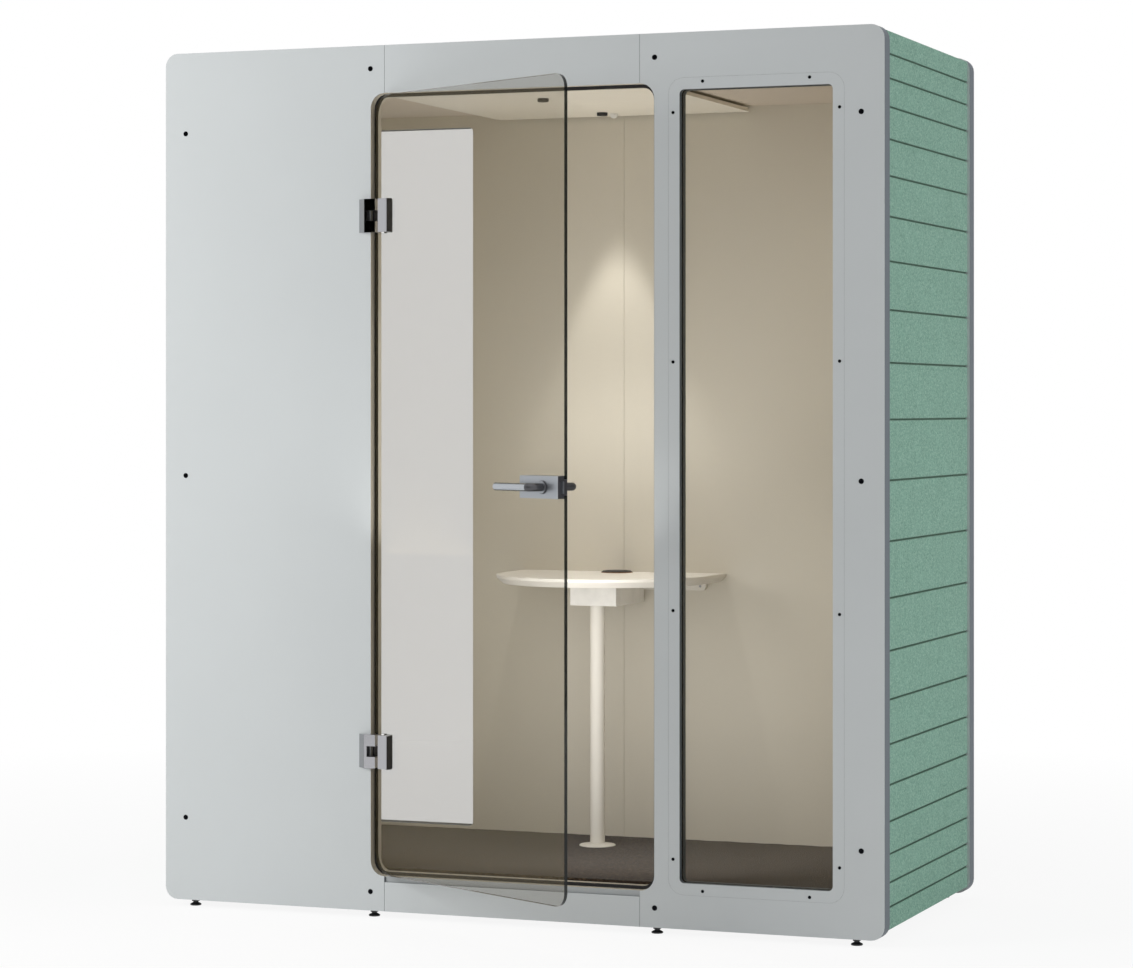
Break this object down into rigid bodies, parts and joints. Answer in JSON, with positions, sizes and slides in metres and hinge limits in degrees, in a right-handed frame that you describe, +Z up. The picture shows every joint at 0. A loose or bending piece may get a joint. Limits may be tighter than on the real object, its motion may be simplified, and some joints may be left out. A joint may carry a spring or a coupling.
{
  "type": "acoustic office pod",
  "caption": "Free-standing acoustic office pod: laminate walls, grooved felt sides, glass door on pivot hinges with a lever latch, tall windows, and a wall-fixed table under a lit ceiling.",
  "frame": {"origin": "on the floor, at the centre of the bounding box with the door standing ajar as in the picture", "axes": "+Z up, +Y from the front wall with the door towards the back wall, +X towards the front window"},
  "size_m": [2, 1.2982, 2.29],
  "materials": {
    "wall_panel": "satin",
    "cream_trim": "satin",
    "cream_lining": "matte",
    "black_rubber": "matte",
    "foot_black": "satin",
    "door_glass": "gloss",
    "window_glass": "gloss",
    "side_felt": "matte",
    "board": "matte",
    "carpet": "matte",
    "roof_board": "matte",
    "ceiling_felt": "matte",
    "table_white": "satin",
    "white_metal": "satin",
    "white_plastic": "satin",
    "black_plastic": "satin",
    "polished_chrome": "polished",
    "lever_black": "satin",
    "satin_metal": "satin"
  },
  "bodies": {
    "shell": {"front_left_panel": "wall_panel", "front_right_panel": "wall_panel", "front_header_panel": "wall_panel", "front_sill_panel": "wall_panel", "back_window_panel": "wall_panel", "back_plain_panel": "wall_panel", "front_window_bezel": "wall_panel", "back_window_bezel": "wall_panel", "door_frame": "cream_trim", "ceiling_raft": "cream_trim", "left_inner_lining": "cream_lining", "right_inner_lining": "cream_lining", "door_seal": "black_rubber", "front_window_gasket": "black_rubber", "back_window_gasket": "black_rubber", "foot_front_outer_left": "foot_black", "foot_front_inner_left": "foot_black", "foot_front_inner_right": "foot_black", "foot_front_outer_right": "foot_black", "foot_back_outer_left": "foot_black", "foot_back_inner_left": "foot_black", "foot_back_inner_right": "foot_black", "foot_back_outer_right": "foot_black", "front_window_glass": "window_glass", "back_window_glass": "window_glass", "left_side_felt": "side_felt", "right_side_felt": "side_felt", "left_side_core": "board", "right_side_core": "board", "floor_cassette": "board", "carpet": "carpet", "roof_tray": "roof_board", "ceiling_panel": "ceiling_felt", "table_top": "table_white", "table_wall_rail": "white_metal", "table_column": "white_metal", "table_column_flange": "white_metal", "table_power_box": "white_plastic", "presence_sensor": "white_plastic", "ceiling_light_front": "black_plastic", "ceiling_light_back": "black_plastic", "left_fan_housing": "black_plastic", "right_fan_housing": "black_plastic", "cable_grommet": "black_plastic", "upper_hinge_block": "polished_chrome", "lower_hinge_block": "polished_chrome", "strike_plate": "satin_metal", "upper_hinge_pin": "satin_metal", "lower_hinge_pin": "satin_metal"},
    "door": {"door_glass": "door_glass", "upper_hinge_clamp": "polished_chrome", "lower_hinge_clamp": "polished_chrome", "lock_case": "satin_metal", "lock_inner_cover": "satin_metal"},
    "lever": {"outer_lever": "lever_black", "inner_lever": "lever_black"},
    "latch": {"latch_bolt": "satin_metal"},
    "left_rotor": {"left_fan_rotor": "black_plastic"},
    "right_rotor": {"right_fan_rotor": "black_plastic"}
  },
  "joints": [
    {"name": "door_swing", "type": "hinge", "parent": "shell", "child": "door", "pos_m": [-0.389, -0.24399, 1.1395], "axis": [0, 0, -1], "range_deg": [-29.25, 65.75]},
    {"name": "lever_turn", "type": "hinge", "parent": "door", "child": "lever", "pos_m": [0.2392, -0.5958, 1.143], "axis": [-0.4886, -0.8725, 0], "range_deg": [0, 45], "stiffness_Nm_per_rad": 1.2, "springref_deg": -34.38},
    {"name": "latch_slide", "type": "slide", "parent": "door", "child": "latch", "axis": [-0.8725, 0.4886, 0], "range_m": [0, 0.009]},
    {"name": "left_fan_spin", "type": "hinge", "parent": "shell", "child": "left_rotor", "pos_m": [-0.2, 0.19551, 2.247], "axis": [0, 0, 1], "continuous": true},
    {"name": "right_fan_spin", "type": "hinge", "parent": "shell", "child": "right_rotor", "pos_m": [0.2, 0.19551, 2.247], "axis": [0, 0, 1], "continuous": true}
  ],
  "couplings": [
    {"joint": "latch_slide", "follows": "lever_turn", "m_per_rad": 0.0114}
  ]
}
